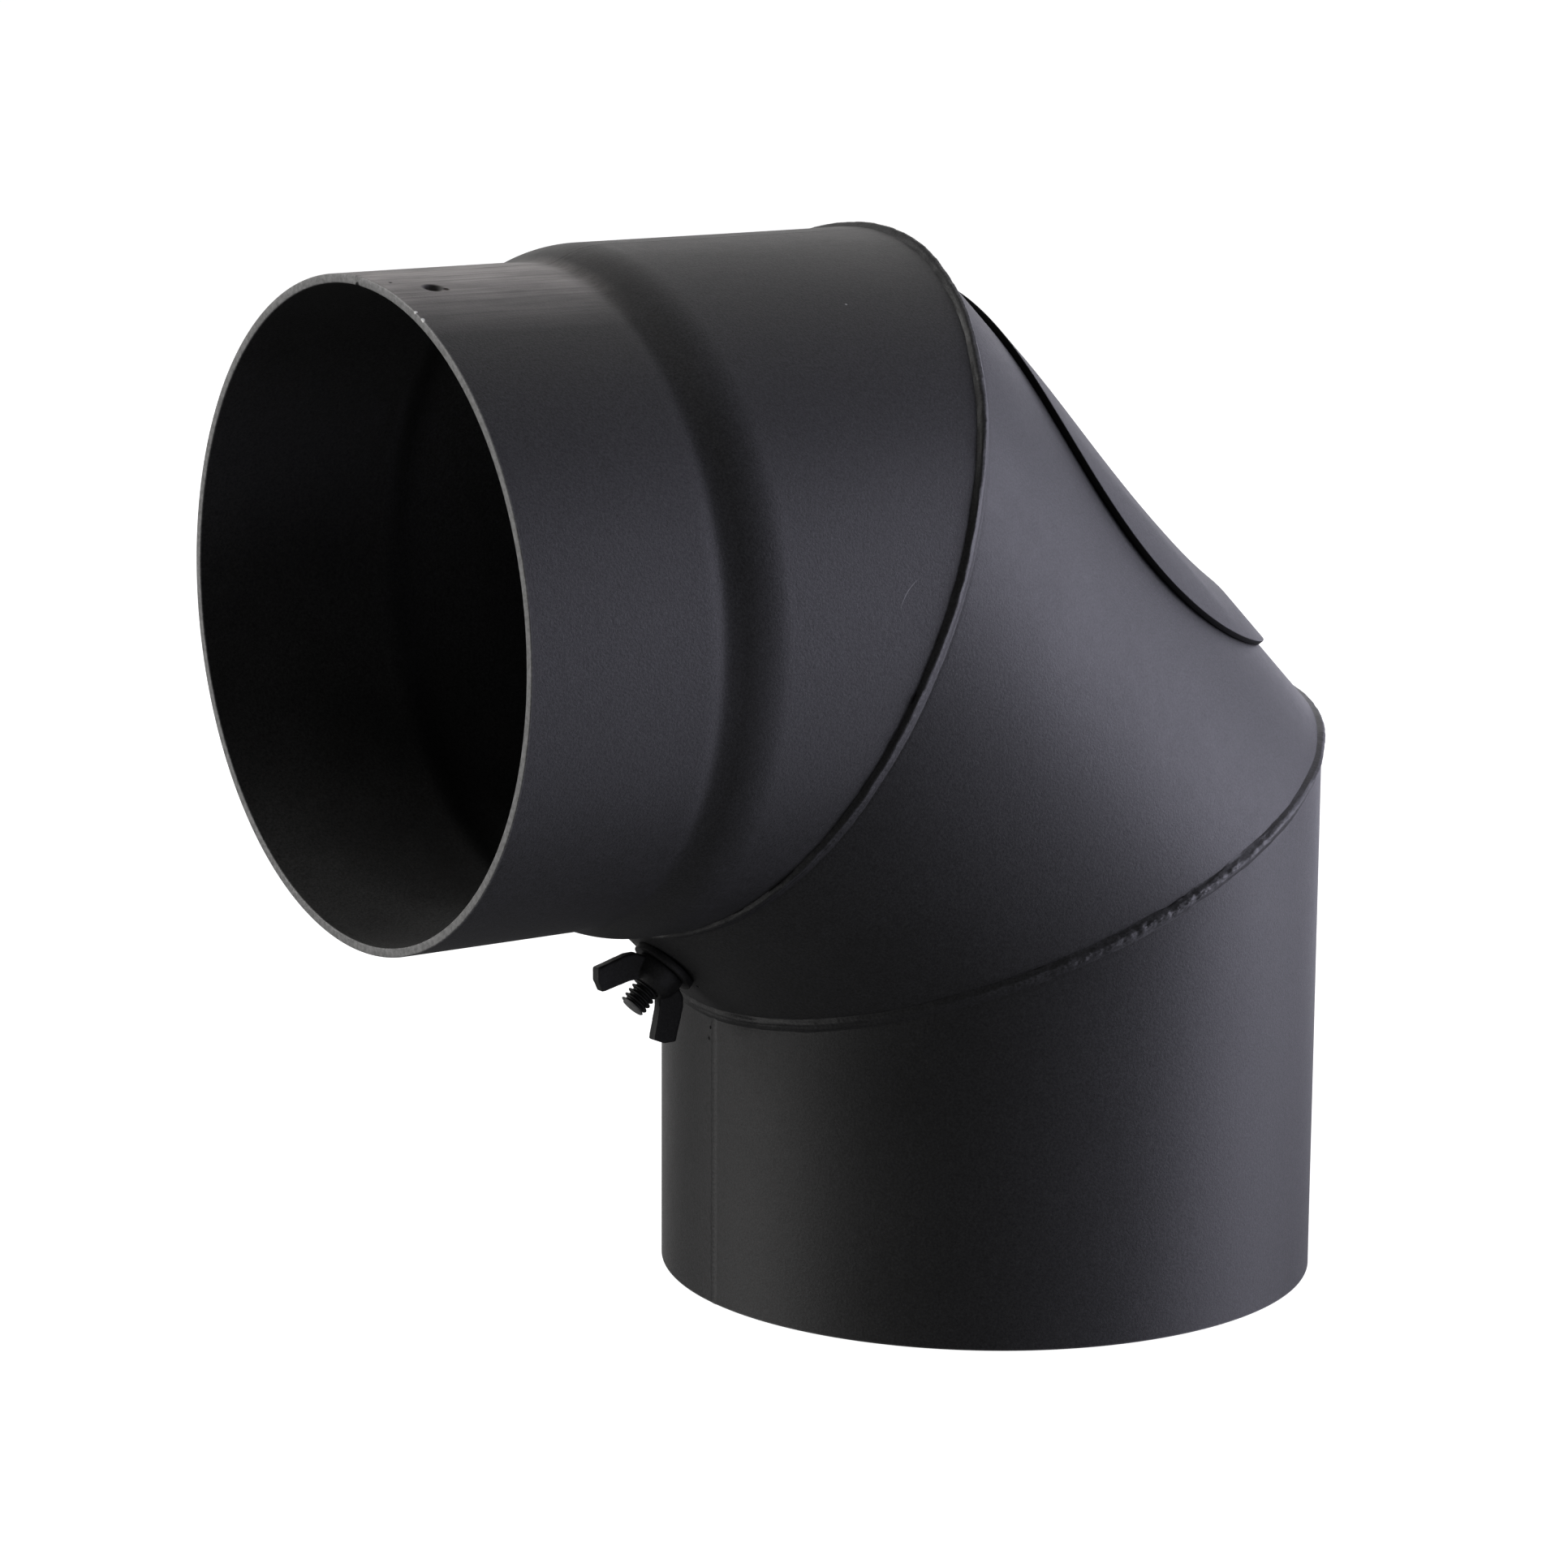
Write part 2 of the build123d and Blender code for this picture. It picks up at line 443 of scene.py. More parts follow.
def oval_hole(centre_angle, half_angle, centre_along, half_length):
    """An oval outline on a tube: each point's size against it, and the move onto it."""

    def size(angle, along):
        return np.hypot((angle - centre_angle) / half_angle, (along - centre_along) / half_length)

    def project(angle, along):
        ratio = 1 / np.maximum(size(angle, along), tiny)
        return (
            centre_angle + (angle - centre_angle) * ratio,
            centre_along + (along - centre_along) * ratio,
        )

    return size, project


def round_hole(centre_angle, centre_along, radius, tube_radius):
    return oval_hole(centre_angle, math.degrees(radius / tube_radius), centre_along, radius)


# ---- small shapes ----
def edge_round(depth, size):
    """How far a rounded edge falls back at a depth from the edge."""
    inside = np.clip(size - depth, 0, size)
    return size - np.sqrt(size**2 - inside**2)


def waviness(angle, along):
    """The slow, shallow unevenness of rolled sheet."""
    turn = np.radians(angle)
    total = 0.0
    for share, count, rate, phase in sheet_waves:
        total = total + share * np.sin(count * turn + rate * along + phase)
    return wave_size * total


def toe_groove(from_mitre):
    """The shallow groove that the weld's heat leaves in the sheet beside a bead."""
    return undercut * np.exp(-((from_mitre - bead_reach) / undercut_width) ** 2)


def smooth_noise(count, spacing):
    """Seeded noise from -1 to 1 along a line, with a bump about every spacing samples."""
    knots = max(fewest_knots, int(count / spacing))
    values = rng.uniform(-1, 1, knots)
    place = np.arange(count) / count * knots
    low = np.floor(place).astype(int)
    part = place - low
    part = part * part * (3 - 2 * part)
    return values[low % knots] * (1 - part) + values[(low + 1) % knots] * part


def noise_along(crumbly, rows):
    """Noise along a bead from rows of (size, extra where crumbly, bump length)."""
    steps = len(crumbly)
    return sum((size + extra * crumbly) * smooth_noise(steps, spacing) for size, extra, spacing in rows)


# ---- the three sheet sections ----
def flat_profile(along):
    return np.full(np.shape(along), outer_radius)


def spigot_profile(along):
    """Outer radius of the spigot's leg at a distance from its rim."""
    step = outer_radius - spigot_radius
    arc = (flare_length**2 + step**2) / (2 * step)
    back = np.clip(spigot_length + flare_length - along, 0, flare_length)
    radius = outer_radius - arc + np.sqrt(arc**2 - back**2)
    slope = flare_length / math.sqrt(arc**2 - flare_length**2)
    near = np.clip(1 - np.abs(along - spigot_length) / flare_crease, 0, 1)
    dip = swage_groove * np.exp(-(((along - spigot_length) / swage_groove_width + 1) ** 2))
    return np.where(along < spigot_length, spigot_radius, radius) + slope * flare_crease * near**2 / 4 - dip


def profile_slope(profile, along):
    """How steeply a leg's radius changes along it."""
    return (profile(along + slope_step) - profile(along - slope_step)) / (2 * slope_step)


def rim_marks(along):
    """1 at a rim, falling to 0 where its wear and painted highlight end."""
    return np.clip(1 - along / rim_wear_and_highlight, 0, 1)


def section(name, leg, ends, seam, profile, holes, around_bands, share_bands):
    """One rolled sheet between a rim or a mitre at each end, with a slot for its seam weld."""
    start, end = ends
    has_rim = start is rim_start
    half_slot = math.degrees(seam_width / 2 / outer_radius)
    around = lines(seam + half_slot, seam + 360 - half_slot, ring_step, around_bands)
    end_band = (1 - mitre_zone, 1.0, mitre_row)
    mitre_bands = [end_band] if has_rim else [(0.0, mitre_zone, mitre_row), end_band]
    share = lines(0, 1, row_step, mitre_bands + share_bands)
    angle, share = np.meshgrid(around, share)
    keep = np.ones((angle.shape[0] - 1, angle.shape[1] - 1), bool)
    first = start(angle, outer_radius)
    last = end(angle, outer_radius)
    along = first + (last - first) * share
    for hole in holes:
        snap_to_hole(angle, along, keep, hole)
    share = (along - first) / (last - first)

    # the outside stops short of each mitre, where the bead fills the groove
    first = start(angle, outer_radius) + (0 if has_rim else groove)
    last = end(angle, outer_radius) - groove
    along = first + (last - first) * share
    inner_first = start(angle, inner_radius)
    inner_along = inner_first + (end(angle, inner_radius) - inner_first) * share
    radius = profile(along)
    slope = profile_slope(profile, along)
    stretch = np.sqrt(1 + slope**2)
    radius = radius + waviness(angle, along)
    inner_along = inner_along + sheet * slope / stretch
    inner = radius - sheet / stretch
    radius = radius - toe_groove(end(angle, outer_radius) - along)
    if not has_rim:
        radius = radius - toe_groove(along - start(angle, outer_radius))
    no_wear = np.zeros(angle.shape)
    marks = {"wear": (no_wear, no_wear), "inside": (no_wear, no_wear + 1)}
    if has_rim:
        marks["wear"] = (rim_marks(along), rim_marks(inner_along))
        radius = radius - edge_round(along, rim_edge)
        inner = inner + edge_round(inner_along, rim_edge)
    outer_grid = leg.point(angle, along, radius)
    inner_grid = leg.point(angle, inner_along, inner)
    return add_shell(name, outer_grid, inner_grid, keep, marks=marks)


def horizontal_section():
    hole = round_hole(hole_angle, hole_along, screw_hole_radius, spigot_radius)
    longest = leg_mitre(0.0, outer_radius)
    around_bands = [(hole_angle - hole_half_angle, hole_angle + hole_half_angle, hole_column)]
    rim_band = (0.0, spigot_rim_zone, spigot_rim_row)
    hole_start = (hole_along - hole_half_length) / longest
    hole_end = (hole_along + hole_half_length) / longest
    hole_band = (hole_start, hole_end, hole_row)
    flare_band = ((spigot_length - flare_lead) / longest, flare_end, flare_row)
    return section(
        "spigot_section",
        horizontal_leg,
        (rim_start, leg_mitre),
        horizontal_seam,
        spigot_profile,
        [hole],
        around_bands,
        [rim_band, hole_band, flare_band],
    )


def middle_section():
    opening = oval_hole(0.0, opening_half_angle, door_shift, door_half_length - opening_margin)
    stud_hole = round_hole(throat, stud_shift, stud_hole_radius, outer_radius)
    around_bands = [(throat - stud_hole_half_angle, throat + stud_hole_half_angle, stud_hole_column)]
    return section(
        "gore_section",
        middle_leg,
        (gore_low, gore_high),
        middle_seam,
        flat_profile,
        [opening, stud_hole],
        around_bands,
        [],
    )


def vertical_section():
    return section(
        "socket_section",
        vertical_leg,
        (rim_start, leg_mitre),
        vertical_seam,
        flat_profile,
        [],
        [],
        [(0.0, socket_rim_zone, socket_rim_row)],
    )


# ---- welds ----
def seam_weld(name, leg, ends, seam, profile, crown):
    """A weld that fills the slot of a section's seam, with its top a little proud."""
    start, end = ends
    half = math.degrees(seam_width / 2 / outer_radius) + math.degrees(seam_overlap / outer_radius)
    offset, share = np.meshgrid(np.linspace(-1, 1, seam_columns), lines(0, 1, seam_row))
    angle = seam + half * offset
    has_rim = start is rim_start
    first = start(angle, outer_radius) + (seam_trim if has_rim else groove)
    along = first + (end(angle, outer_radius) - groove - first) * share
    inner_first = start(angle, inner_radius) + (seam_trim if has_rim else 0)
    inner_along = inner_first + (end(angle, inner_radius) - inner_first) * share
    slope = profile_slope(profile, along)
    stretch = np.sqrt(1 + slope**2)
    base = profile(along) + waviness(angle, along)
    bump = (1 - offset**2) * (crown + seam_sink)
    phase = 2 * math.pi * (along - seam_ripple_bow * offset**2) / bead_pitch
    ripple = seam_ripple * crown * np.sin(phase)
    radius = base - seam_sink + bump + ripple * (1 - offset**2)
    inner = base - sheet / stretch + seam_sink - bump * seam_root
    inner_along = inner_along + sheet * slope / stretch
    if has_rim:
        radius = radius - edge_round(along, rim_edge)
        inner = inner + edge_round(inner_along, rim_edge)
    zero = np.zeros(angle.shape)
    wear = (rim_marks(along), rim_marks(inner_along)) if has_rim else (zero, zero)
    marks = {"wear": wear, "inside": (zero, zero + 1)}
    outer_grid = leg.point(angle, along, radius)
    inner_grid = leg.point(angle, inner_along, inner)
    return add_shell(name, outer_grid, inner_grid, marks=marks)


def horizontal_seam_weld():
    ends = (rim_start, leg_mitre)
    crown = horizontal_seam_crown
    return seam_weld("spigot_seam", horizontal_leg, ends, horizontal_seam, spigot_profile, crown)


def middle_seam_weld():
    ends = (gore_low, gore_high)
    return seam_weld("gore_seam", middle_leg, ends, middle_seam, flat_profile, middle_seam_crown)


def vertical_seam_weld():
    ends = (rim_start, leg_mitre)
    return seam_weld("socket_seam", vertical_leg, ends, vertical_seam, flat_profile, vertical_seam_crown)


def mitre_weld(name, lower):
    """A rippled bead that bridges the corner between two tubes, all the way round."""
    steps = int(2 * math.pi * outer_radius * mitre_stretch / bead_step)
    angle = np.arange(steps) * 360.0 / steps
    arc = np.arange(steps) * bead_step
    leg = vertical_leg if lower else horizontal_leg
    mitre_end = leg_mitre(angle, outer_radius)
    gore_end = gore_low(angle, outer_radius) if lower else gore_high(angle, outer_radius)
    onto_gore = 1 if lower else -1
    crumbly = np.zeros(steps)
    if lower:
        crumbly = np.clip(1 - np.abs(angle - crumbly_middle) / crumbly_half, 0, 1) ** crumbly_fade
    wobble = noise_along(crumbly, bead_wander)
    height = lower_bead_height if lower else upper_bead_height
    height = height * (1 + noise_along(crumbly, bead_height_change))
    phase_change = noise_along(crumbly, bead_phase_change)
    crest = lower_crest if lower else upper_crest
    crest = crest + noise_along(crumbly, bead_crest_change)
    normal = leg.point(angle, 0, 1) - leg.start + middle_leg.point(angle, 0, 1) - middle_leg.start
    normal = normal / np.linalg.norm(normal, axis=1)[:, None]
    rows = []
    for place in np.linspace(-1, 1, bead_columns):
        widened = 1 + crumbly_widening * crumbly + noise_along(crumbly, bead_width_change)
        shift = place * bead_reach * widened + wobble
        on_leg = leg.point(angle, mitre_end + np.minimum(shift, 0), outer_radius)
        on_gore = middle_leg.point(angle, gore_end + onto_gore * np.maximum(shift, 0), outer_radius)
        base = np.where((shift < 0)[:, None], on_leg, on_gore)
        phase = 2 * math.pi * (arc - bead_ripple_bow * place**2) / bead_pitch + phase_change
        side = np.clip((place - crest) / (1 - crest * np.sign(place - crest)), -1, 1)
        dome = (1 - side**2) ** bead_softness
        streak = noise_along(crumbly, bead_streaks)
        rise = (height + streak + bead_ripple * np.sin(phase)) * dome
        rows.append(base + normal * (rise - bead_sink)[:, None])
    root_radius = outer_radius - bead_root
    rows.append(leg.point(angle, leg_mitre(angle, root_radius), root_radius))
    rings = np.stack(rows, axis=1)
    zero = np.zeros(rings.shape[0] * rings.shape[1])
    return add_loft(name, rings, True, {"wear": zero, "inside": zero}, bead_smooth_angle)


# ---- the inspection door ----
def door_drop(angle, along):
    """How far the pressed door falls below a plain rolled plate."""
    side = np.clip(1 - (angle / opening_half_angle) ** 2, 0, 1)
    from_deepest = along - dish_deepest
    low = np.clip(1 - (from_deepest / (dish_low_end - dish_deepest)) ** 2, 0, 1)
    high = np.cos(np.clip(from_deepest / (dish_high_end - dish_deepest), 0, 1) * math.pi / 2) ** 2
    dish = dish_depth * side * np.where(along < dish_deepest, low, high)
    settle = settle_depth * np.clip((along - settle_start) / settle_length, 0, 1)
    lift = side_lift * (angle / door_half_angle) ** side_lift_power
    return dish + settle - lift


def door_plate():
    ring = lines(0.0, 1.0, door_ring_step, [(1 - door_edge_zone, 1.0, door_edge_ring)])
    turn, ring = np.meshgrid(np.arange(0, 360, door_turn_step), ring)
    along = door_shift + door_half_length * ring * np.cos(np.radians(turn))
    angle = door_half_angle * ring * np.sin(np.radians(turn))
    depth = (1 - ring) * door_half_length
    base = outer_radius + door_gap - door_drop(angle, along)
    outer = base + door_sheet - edge_round(depth, door_edge)
    inner = base + edge_round(depth, door_edge / 2)
    zero = np.zeros(angle.shape)
    marks = {"wear": (zero, zero), "inside": (zero, zero + 1)}
    return add_shell(
        "door_sheet",
        middle_leg.point(angle, along, outer),
        middle_leg.point(angle, along, inner),
        closed=True,
        marks=marks,
    )


def blacken_edge(door, material):
    """Gives the plate's cut edge, whose faces stand along the tube's radius, its own material: a near-black
    painted shade for the shadowed gap under the door.
    """
    door.data.materials.append(material)
    for face in door.data.polygons:
        place = np.array(face.center) / METRE - gore_centre
        radial = place - gore_dir * (place @ gore_dir)
        slope = abs(np.array(face.normal) @ radial) / np.linalg.norm(radial)
        if slope < edge_slope:
            face.material_index = 1


def door_under_side():
    return outer_radius + door_gap - float(door_drop(np.array(0.0), np.array(stud_shift)))


# ---- the stud, the washer and the wing nut ----
def on_stud(across, side, height):
    """A point from the stud's axis: along the gore, toward the front, and outward."""
    across, side, height = np.broadcast_arrays(across, side, height)
    foot = gore_centre + gore_dir * stud_shift
    return foot + across[..., None] * gore_dir + side[..., None] * to_front + height[..., None] * outward


def turned_part(name, profile, steps):
    """A part turned about the stud's axis from a closed outline of (radius, height)."""
    turn = np.arange(steps) * 2 * math.pi / steps
    radius = np.array([point[0] for point in profile])
    height = np.array([point[1] for point in profile])
    rings = on_stud(
        np.cos(turn)[:, None] * radius,
        np.sin(turn)[:, None] * radius,
        np.broadcast_to(height, (steps, len(profile))),
    )
    zero = np.zeros(rings.shape[0] * rings.shape[1])
    return add_loft(name, rings, True, {"wear": zero, "inside": zero}, turned_smooth_angle)


def stud():
    """The stud, with a rounded helical thread on its lower end."""
    tip = -outer_radius - stud_reach
    top = door_under_side() - stud_clearance
    thread_top = tip + thread_length
    heights = lines(tip, top, stud_row, [(tip, thread_top, thread_pitch / rows_in_a_pitch)])
    turn = np.arange(stud_sides) * 2 * math.pi / stud_sides
    height, angle = np.meshgrid(heights, turn, indexing="ij")
    phase = height / thread_pitch + angle / (2 * math.pi)
    wave = np.abs((phase % 1.0) * 2 - 1)
    wave = np.clip((wave - thread_crest) / thread_flank, 0, 1)
    wave = wave * wave * (3 - 2 * wave)
    fade = np.clip((thread_top - height) / thread_pitch, 0, 1)
    radius = stud_radius - thread_depth * wave * fade
    chamfered = stud_radius - stud_chamfer + (height - tip)
    radius = np.minimum(radius, chamfered)
    rings = on_stud(radius * np.cos(angle), radius * np.sin(angle), height)
    wear = np.clip(1 - (height - tip) / stud_wear, 0, 1).reshape(-1)
    marks = {"wear": wear, "inside": 0 * wear}
    return add_loft("door_stud_threaded", rings, False, marks, thread_smooth_angle)


def stud_weld():
    """A fillet of weld between the stud and the inside of the door."""
    top = door_under_side() - stud_clearance
    width = stud_weld_radius - stud_radius - stud_weld_toe
    profile = [(stud_radius + thin, top)]
    for i in range(fillet_rows + 1):
        turn = i / fillet_rows * math.pi / 2
        radius = stud_weld_radius - width * math.sin(turn) ** stud_weld_curve
        height = top - stud_weld_height * (1 - math.cos(turn)) - 2 * thin
        profile.append((radius, height))
    profile.append((stud_radius + thin, top - stud_weld_height - 5 * thin))
    return turned_part("door_stud_weld", profile, weld_sides)


def washer():
    high = -outer_radius - washer_gap
    low = high - washer_thickness
    edge = washer_edge
    break_in = washer_edge_break * edge
    profile = [
        (washer_bore, low + edge / 2),
        (washer_bore + edge / 2, low),
        (washer_radius - edge, low),
        (washer_radius - break_in, low + break_in),
        (washer_radius, low + edge),
        (washer_radius, high - edge),
        (washer_radius - break_in, high - break_in),
        (washer_radius - edge, high),
        (washer_bore + edge / 2, high),
        (washer_bore, high - edge / 2),
    ]
    return turned_part("stud_washer", profile, washer_sides)


def wing_nut():
    """Hub and two wings joined into one casting with soft edges, then bored."""
    foot = -outer_radius - washer_gap - washer_thickness - nut_gap
    hub_profile = [
        (hub_core, foot),
        (nut_foot_radius, foot),
        (nut_foot_radius, foot - hub_foot_height),
        (nut_top_radius + hub_shoulder, foot - nut_height + hub_shoulder_height),
        (nut_top_radius - hub_crown, foot - nut_height),
        (hub_core, foot - nut_height),
    ]
    hub = turned_part("stud_wing_nut", hub_profile, hub_sides)
    turn = math.radians(nut_turn_at_rest)
    parts = [hub]
    for side in (1, -1):
        outline = np.array([(side * across, height) for across, height in wing_outline])
        rings = []
        for thick in (-wing_thickness / 2, wing_thickness / 2):
            across = outline[:, 0] * math.cos(turn) - thick * math.sin(turn)
            front = -(outline[:, 0] * math.sin(turn) + thick * math.cos(turn))
            rings.append(on_stud(across, front, foot - outline[:, 1]))
        parts.append(add_loft("wing", np.array(rings), False))
    with bpy.context.temp_override(active_object=hub, selected_editable_objects=parts):
        bpy.ops.object.join()
    remesh = hub.modifiers.new("cast", "REMESH")
    remesh.mode = "VOXEL"
    remesh.voxel_size = cast_voxel * METRE
    soften = hub.modifiers.new("soften", "SMOOTH")
    soften.factor = cast_softness
    soften.iterations = cast_passes
    cutter_profile = [
        (bore_core, foot + bore_overshoot),
        (nut_bore, foot + bore_overshoot),
        (nut_bore, foot - 2 * nut_height),
        (bore_core, foot - 2 * nut_height),
    ]
    cutter = turned_part("bore", cutter_profile, bore_sides)
    bore = hub.modifiers.new("bore", "BOOLEAN")
    bore.object = cutter
    bore.operation = "DIFFERENCE"
    bore.solver = "EXACT"
    depsgraph = bpy.context.evaluated_depsgraph_get()
    final = bpy.data.meshes.new_from_object(hub.evaluated_get(depsgraph))
    hub.modifiers.clear()
    hub.data = final
    final.shade_smooth()
    final.set_sharp_from_angle(angle=math.radians(nut_smooth_angle))
    bpy.data.objects.remove(cutter)
    # wear and a painted highlight on the wings' flat ends
    wear = wing_wear_and_highlight(final, foot, turn)
    add_marks(final, {"wear": wear, "inside": 0 * wear})
    return hub


def wing_wear_and_highlight(mesh, foot, turn):
    """Wear and a painted highlight on the flat ends of the two wings, from each point's place past the
    end's line.
    """
    points = np.array([vertex.co for vertex in mesh.vertices]) / METRE - gore_centre - gore_dir * stud_shift
    across = np.abs(points @ (gore_dir * math.cos(turn) - to_front * math.sin(turn)))
    below_foot = foot - points @ outward
    corner = np.array(wing_outline[2])
    along_end = np.array(wing_outline[4]) - corner
    end_normal = np.array([-along_end[1], along_end[0]]) / np.linalg.norm(along_end)
    past_end = (across - corner[0]) * end_normal[0] + (below_foot - corner[1]) * end_normal[1]
    return np.clip((past_end + 2 * wing_end_wear_and_highlight) / wing_end_wear_and_highlight, 0, most_wing_wear_and_highlight)


# ---- materials ----
class Nodes:
    """Short calls for the shader nodes that the materials share."""

    def __init__(self, name):
        self.material = bpy.data.materials.new(name)
        self.material.use_nodes = True
        self.tree = self.material.node_tree
        self.tree.nodes.clear()
        self.shader = self.tree.nodes.new("ShaderNodeBsdfPrincipled")
        output = self.tree.nodes.new("ShaderNodeOutputMaterial")
        self.tree.links.new(self.shader.outputs["BSDF"], output.inputs["Surface"])
        coordinates = self.tree.nodes.new("ShaderNodeTexCoord")
        self.place = coordinates.outputs["Object"]
        self.pits = 0.0

    def set(self, socket, value):
        if isinstance(value, bpy.types.NodeSocket):
            self.tree.links.new(value, socket)
        else:
            socket.default_value = value

    def vector_math(self, operation, first, socket, second):
        node = self.tree.nodes.new("ShaderNodeVectorMath")
        node.operation = operation
        self.set(node.inputs[0], first)
        self.set(node.inputs[socket], second)
        return node

    def stretched(self, scale):
        return self.vector_math("MULTIPLY", self.place, 1, scale).outputs[0]

    def noise(self, scale, detail, roughness, vector=None):
        node = self.tree.nodes.new("ShaderNodeTexNoise")
        self.set(node.inputs["Vector"], vector or self.place)
        node.inputs["Scale"].default_value = scale
        node.inputs["Detail"].default_value = detail
        node.inputs["Roughness"].default_value = roughness
        return node.outputs["Fac"]

    def math(self, operation, first, second=0.0):
        node = self.tree.nodes.new("ShaderNodeMath")
        node.operation = operation
        self.set(node.inputs[0], first)
        self.set(node.inputs[1], second)
        return node.outputs[0]

    def remap(self, value, low, high, to_low, to_high):
        node = self.tree.nodes.new("ShaderNodeMapRange")
        node.clamp = True
        self.set(node.inputs["Value"], value)
        ends = {"From Min": low, "From Max": high, "To Min": to_low, "To Max": to_high}
        for socket, number in ends.items():
            node.inputs[socket].default_value = number
        return node.outputs["Result"]

    def mix(self, factor, first, second, kind="RGBA"):
        node = self.tree.nodes.new("ShaderNodeMix")
        node.data_type = kind
        self.set(node.inputs["Factor"], factor)
        self.set(node.inputs["A"], first)
        self.set(node.inputs["B"], second)
        return node.outputs["Result"]

    def mix_value(self, factor, first, second):
        return self.mix(factor, first, second, "FLOAT")

    def scale(self, colour, factor):
        return self.vector_math("SCALE", colour, "Scale", factor).outputs[0]

    def distance(self, point):
        return self.vector_math("DISTANCE", self.place, 1, point).outputs["Value"]

    def attribute(self, name):
        node = self.tree.nodes.new("ShaderNodeAttribute")
        node.attribute_name = name
        return node.outputs["Fac"]

    def bump(self, height, strength, distance, under=None):
        node = self.tree.nodes.new("ShaderNodeBump")
        node.inputs["Strength"].default_value = strength
        node.inputs["Distance"].default_value = distance
        self.set(node.inputs["Height"], height)
        if under is not None:
            self.set(node.inputs["Normal"], under)
        return node.outputs["Normal"]


def grey(value, blue=1.0):
    return (value, value, value * blue, 1.0)


# ---- the paint: tones of 1, sizes in millimetres, noise as (bumps a metre, detail, roughness) ----
paint_tone = 0.021
paint_blue = 1.05
darkest_share = 0.74
lightest_share = 1.26
# the part of a noise's range that a tone or a roughness follows
noise_span = (0.3, 0.7)
narrow_span = (0.35, 0.65)
grain_noise = (1800.0, 3.0, 0.75)
grain_darkest = 0.3
grain_lightest = 1.8
grain_height = 0.12
mottle_bump_share = 0.4
grit_noise = (2300.0, 1.0, 0.5)
grit_span = (0.68, 0.76)
grit_tone = 3.0
grit_cover = 0.5
mottle_noise = (380.0, 3.0, 0.6)
mottle_share = 0.45
patch_noise = (22.0, 3.0, 0.55)
soot_tones = (0.024, 0.04)
# wear at the rims and the wing ends: bare metal, made brighter as a painted highlight on faces that the
# light catches
worn_and_lit_noise = (900.0, 3.0, 0.7)
worn_and_lit_tones = (0.15, 0.27)
pipe_roughness = 0.52
weld_roughness = 0.46
weld_tone_share = 1.05
door_roughness = 0.54
hardware_roughness = 0.5
hardware_tone_share = 0.7
paint_grain_bump = 0.6
hardware_grain_bump = 0.25
roughness_below = 0.05
roughness_above = 0.06
specular = 0.5
# the door edge's painted shade, standing in for the shadowed gap under the plate
edge_shade_noise = (700.0, 3.0, 0.6)
edge_shade_tones = (0.003, 0.009)
edge_shade_roughness = (0.7, 0.9)
edge_shade_height = 0.1
edge_shade_bump = 0.5
edge_shade_specular = 0.2
pit_depth = 0.6

# ---- the spigot's ground top, also painted lighter as a highlight: radians round it, millimetres along it ----
top_band_middle = 0.1
top_band_full = 0.04
top_band_none = 0.42
top_band_fade = (-6.0, 2.0)
top_band_past_flare = 0.08
ground_and_highlight_cover = 0.9
ground_and_highlight_colour = (0.4, 0.373, 0.362, 1.0)
streak_stretch = (22.0, 1100.0, 1100.0)
streak_noise = (1.0, 4.0, 0.65)
streak_span = (0.36, 0.6)
streak_least = 0.62
patchy_stretch = (45.0, 140.0, 140.0)
patchy_noise = (1.0, 3.0, 0.6)
patchy_span = (0.35, 0.6)
patchy_least = 0.6

# ---- marks in the paint, the pits among them painted dark as painted shade, as places of (angle, distance along the leg) ----
rim_chips = [(21.8, 0.2), (24.2, 0.2), (24.6, 0.0)]
rim_notch = (2.4, 0.0)
top_pinhole = (8.7, 3.4)
body_speck = (31.9, 99.2)
socket_pinholes = [(181.1, 65.5), (181.6, 62.8), (180.3, 63.6), (183.0, 69.3), (178.7, 69.0)]
gore_pinhole = (176.5, -5.0)
scratch_middle = (83.8, 90.9)
scratch_centre = (88.8, 99.0)
scratch_reach = (4.6, 1.0)
scratch_width = (0.18, 0.05)
scratch_tone = 0.2
scratch_cover = 0.7
burr_turn = 1.0
burr_along = 2.4
burr_colour = (0.03, 0.02, 0.016, 1.0)
# a dark ring painted round the screw hole: painted shade that widens the hole's dark opening
hole_ring_radius = 2.75
hole_ring_shade_tone = 0.008
pinhole_radius = 0.45
speck_radius = 0.35
chip_radius = 0.55
burr_radius = 0.9
notch_radius = 0.9
# near black: the painted shade inside pinholes and the rim's notch
pit_shade_tone = 0.003
chip_tone = 0.8
speck_tone = 0.3


def surface_point(leg, angle, along, radius):
    """A point on a tube as the shader sees it, in metres."""
    return (leg.point(np.array(angle), np.array(along), np.array(radius)) * METRE).tolist()


def tones(n, value, pair, blue=1.0, span=noise_span):
    """A grey between two tones, led by a noise value over a span."""
    first, second = pair
    return n.mix(n.remap(value, *span, 0.0, 1.0), grey(first, blue), grey(second, blue))


def painted_edge_shade(name):
    """Painted shade on the door's cut edge: near black, dull and weakly glossy, standing in for the
    shadowed gap under the plate, with a little of its own unevenness.
    """
    n = Nodes(name)
    patches = n.noise(*edge_shade_noise)
    n.set(n.shader.inputs["Base Color"], tones(n, patches, edge_shade_tones))
    n.set(n.shader.inputs["Roughness"], n.remap(patches, *noise_span, *edge_shade_roughness))
    n.set(n.shader.inputs["Normal"], n.bump(patches, edge_shade_bump, edge_shade_height * METRE))
    n.shader.inputs["Specular IOR Level"].default_value = edge_shade_specular
    return n.material


